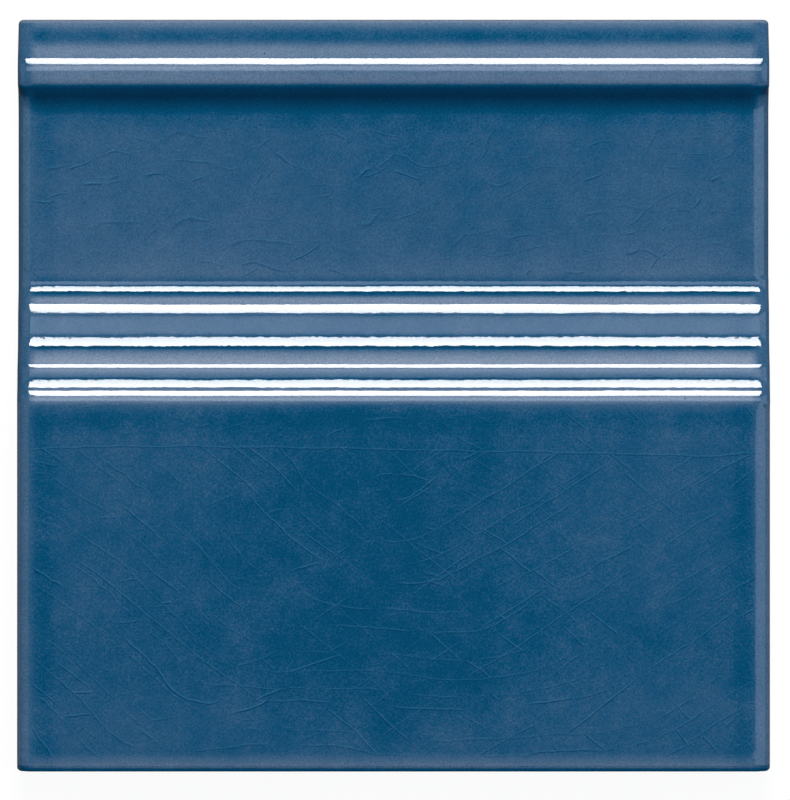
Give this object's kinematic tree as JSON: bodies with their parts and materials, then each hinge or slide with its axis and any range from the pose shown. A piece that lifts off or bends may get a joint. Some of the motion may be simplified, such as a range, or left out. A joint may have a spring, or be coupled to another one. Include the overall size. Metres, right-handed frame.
{
  "type": "skirting tile",
  "caption": "Square ceramic skirting tile with a rounded bead along its top edge, a stepped moulding across its middle and a deep blue crackle glaze.",
  "frame": {"origin": "middle of the back of the tile, on the plane that it lies on", "axes": "+X along the skirting, +Y up the wall towards the beaded top edge, +Z out of the moulded face"},
  "size_m": [0.148, 0.148, 0.0148],
  "materials": {
    "blue_glaze": "gloss"
  },
  "bodies": {
    "root": {"skirting_tile": "blue_glaze"}
  },
  "joints": []
}
